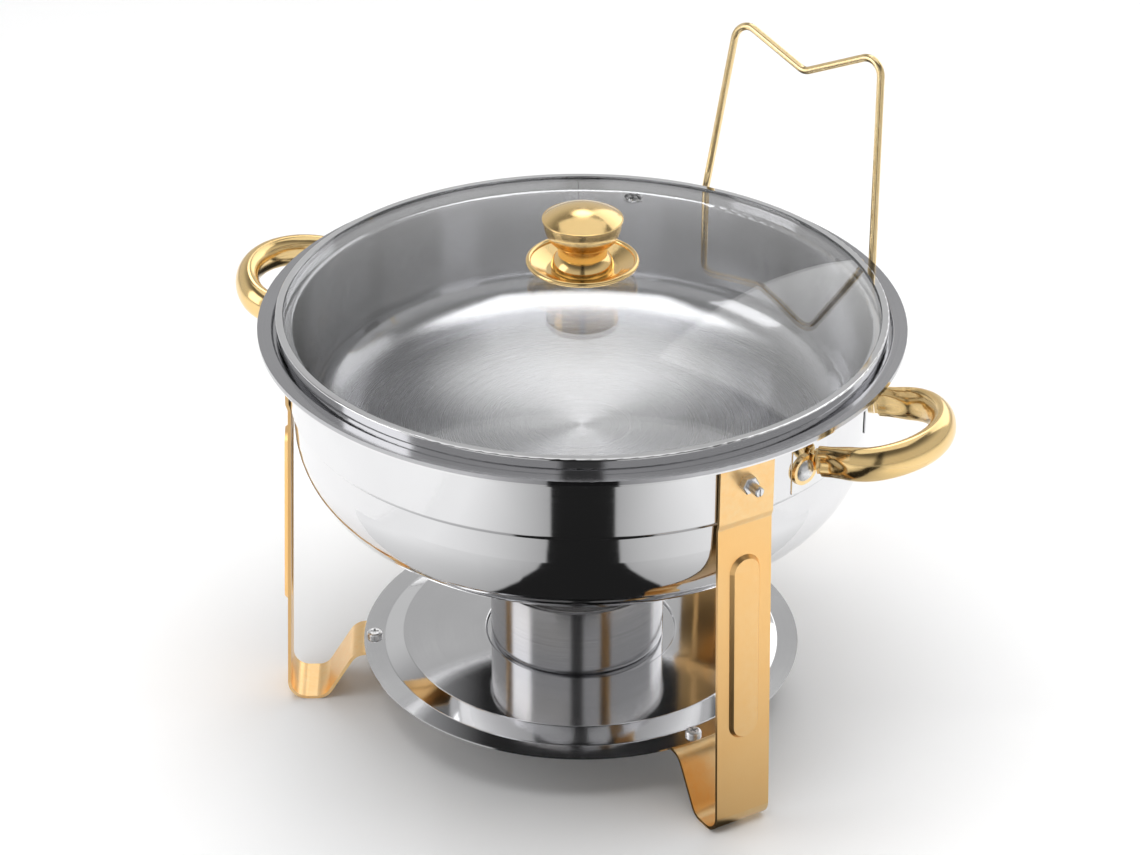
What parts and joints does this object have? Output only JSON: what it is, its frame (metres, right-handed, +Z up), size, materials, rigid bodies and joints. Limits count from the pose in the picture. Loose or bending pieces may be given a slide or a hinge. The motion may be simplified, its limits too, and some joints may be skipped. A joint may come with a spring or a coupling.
{
  "type": "chafing dish",
  "caption": "Round chafing dish with glass lid, food pan in a water pan on strap legs, open burner tray, loop handles and a wire lid holder.",
  "frame": {"origin": "bottom centre of the bounding box, on the table under the pans, 11 mm behind the pans' axis", "axes": "+Z up; +X towards the right handle; -Y towards the front, between the two front legs"},
  "size_m": [0.3918, 0.34, 0.3095],
  "materials": {
    "polished_steel": "mirror-polished stainless steel",
    "pan_steel": "polished wall with a brushed floor and satin flange",
    "brushed_steel": "satin stainless steel, brushed round the axis",
    "fastener_steel": "bright plated steel",
    "polished_gold": "mirror-polished gold-coloured titanium plating",
    "satin_gold": "pale satin gold-coloured plating",
    "wire_gold": "drawn wire, gold-plated",
    "lid_glass": "clear tempered glass",
    "silicone": "translucent silicone"
  },
  "bodies": {
    "stand": {"water_pan": "polished_steel", "leg_front_right": "satin_gold", "leg_back": "satin_gold", "leg_front_left": "satin_gold", "leg_bolts": "fastener_steel", "leg_nuts": "fastener_steel", "burner_tray": "polished_steel", "tray_screws": "fastener_steel", "tray_nuts": "fastener_steel", "right_handle": "polished_gold", "left_handle": "polished_gold", "right_handle_brackets": "polished_gold", "left_handle_brackets": "polished_gold", "handle_pads": "polished_steel", "handle_rivets": "fastener_steel"},
    "food_pan": {"food_pan": "pan_steel"},
    "lid": {"glass_dome": "lid_glass", "lid_ring": "polished_steel", "steam_vent": "fastener_steel", "knob_gasket": "silicone", "knob_base": "polished_gold", "knob_body": "polished_gold", "knob_cap": "polished_gold", "knob_seal": "silicone", "knob_washer": "fastener_steel", "knob_screw": "fastener_steel"},
    "burner": {"burner_cup": "brushed_steel"},
    "burner_cover": {"burner_cover": "brushed_steel", "cover_knob": "fastener_steel"},
    "lid_holder": {"lid_holder": "wire_gold"}
  },
  "joints": [
    {"name": "food_pan_lift", "type": "slide", "parent": "stand", "child": "food_pan", "axis": [0, 0, 1], "range_m": [0, 0.1]},
    {"name": "lid_lift", "type": "slide", "parent": "food_pan", "child": "lid", "axis": [0, 0, 1], "range_m": [0, 0.1]},
    {"name": "lid_holder_pull", "type": "slide", "parent": "stand", "child": "lid_holder", "axis": [0.2706, 0.9627, 0], "range_m": [0, 0.04]},
    {"name": "burner_slide", "type": "slide", "parent": "stand", "child": "burner", "axis": [0.8365, 0.483, 0.2588], "range_m": [0, 0.2]},
    {"name": "burner_cover_lift", "type": "slide", "parent": "burner", "child": "burner_cover", "axis": [0, 0, 1], "range_m": [0, 0.03]}
  ]
}
